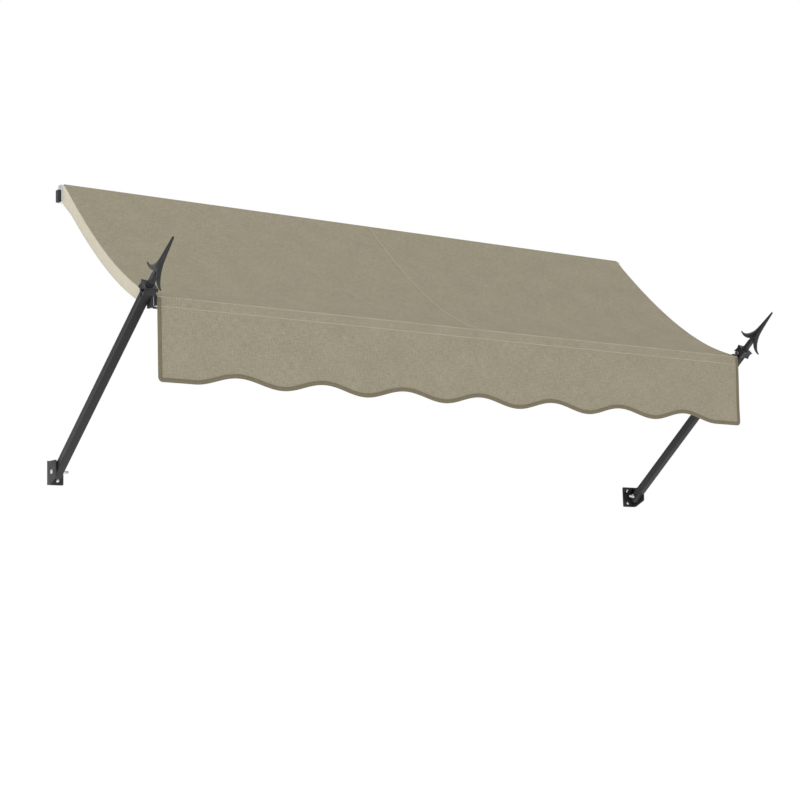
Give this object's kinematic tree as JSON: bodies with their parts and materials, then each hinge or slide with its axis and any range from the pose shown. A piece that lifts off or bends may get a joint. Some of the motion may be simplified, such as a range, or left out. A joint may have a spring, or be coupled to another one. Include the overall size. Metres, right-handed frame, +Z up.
{
  "type": "fabric awning",
  "caption": "Stationary window awning: concave canvas canopy with a scalloped valance, hung from a wall track and propped by two square arms with spearhead finials.",
  "frame": {"origin": "centre of the middle wall clip's back face, on the wall, half way along the awning", "axes": "+X along the wall, +Y into the wall, +Z up; the awning stands out towards -Y"},
  "size_m": [2.3566, 0.7564, 0.919],
  "materials": {
    "taupe_canvas": "woven canvas with a fine heathered weave, matt",
    "cream_canvas": "plain woven lining canvas, matt",
    "binding_braid": "woven edge binding, a shade darker than the canvas",
    "black_powder_coat": "satin black powder coat on aluminium tube",
    "black_casting": "satin black paint over a lightly textured casting",
    "mill_aluminium": "extruded aluminium, mill finish",
    "zinc_plate": "bright zinc-plated steel",
    "black_plastic": "moulded black plastic"
  },
  "bodies": {
    "root": {"head_track": "mill_aluminium", "track_cap_left": "black_plastic", "track_cap_right": "black_plastic", "head_clip_left": "mill_aluminium", "head_clip_screw_left_a": "zinc_plate", "head_clip_screw_left_b": "zinc_plate", "head_clip_centre": "mill_aluminium", "head_clip_screw_centre_a": "zinc_plate", "head_clip_screw_centre_b": "zinc_plate", "head_clip_right": "mill_aluminium", "head_clip_screw_right_a": "zinc_plate", "head_clip_screw_right_b": "zinc_plate", "canopy_left": "taupe_canvas", "canopy_right": "taupe_canvas", "head_bead": "cream_canvas", "valance": "taupe_canvas", "valance_binding": "binding_braid", "bar_pocket": "taupe_canvas", "side_sleeve_left": "cream_canvas", "rib_left": "mill_aluminium", "rib_head_shoe_left": "black_plastic", "rib_front_shoe_left": "black_plastic", "rib_head_screw_left": "zinc_plate", "rib_front_screw_left": "zinc_plate", "side_sleeve_right": "cream_canvas", "rib_right": "mill_aluminium", "rib_head_shoe_right": "black_plastic", "rib_front_shoe_right": "black_plastic", "rib_head_screw_right": "zinc_plate", "rib_front_screw_right": "zinc_plate", "front_bar": "mill_aluminium", "bar_end_plug_left": "black_plastic", "bar_end_washer_left": "zinc_plate", "bar_end_spacer_left": "black_plastic", "bar_end_bolt_left": "black_casting", "bar_end_plug_right": "black_plastic", "bar_end_washer_right": "zinc_plate", "bar_end_spacer_right": "black_plastic", "bar_end_bolt_right": "black_casting", "arm_left": "black_powder_coat", "spear_finial_left": "black_casting", "finial_bolt_left": "zinc_plate", "finial_nut_left": "zinc_plate", "arm_right": "black_powder_coat", "spear_finial_right": "black_casting", "finial_bolt_right": "zinc_plate", "finial_nut_right": "zinc_plate", "wall_bracket_left": "black_casting", "bracket_screw_left_upper": "zinc_plate", "bracket_screw_left_lower": "zinc_plate", "pivot_bolt_left": "zinc_plate", "pivot_nut_left": "zinc_plate", "pivot_washer_left": "black_plastic", "wall_bracket_right": "black_casting", "bracket_screw_right_upper": "zinc_plate", "bracket_screw_right_lower": "zinc_plate", "pivot_bolt_right": "zinc_plate", "pivot_nut_right": "zinc_plate", "pivot_washer_right": "black_plastic"}
  },
  "joints": []
}
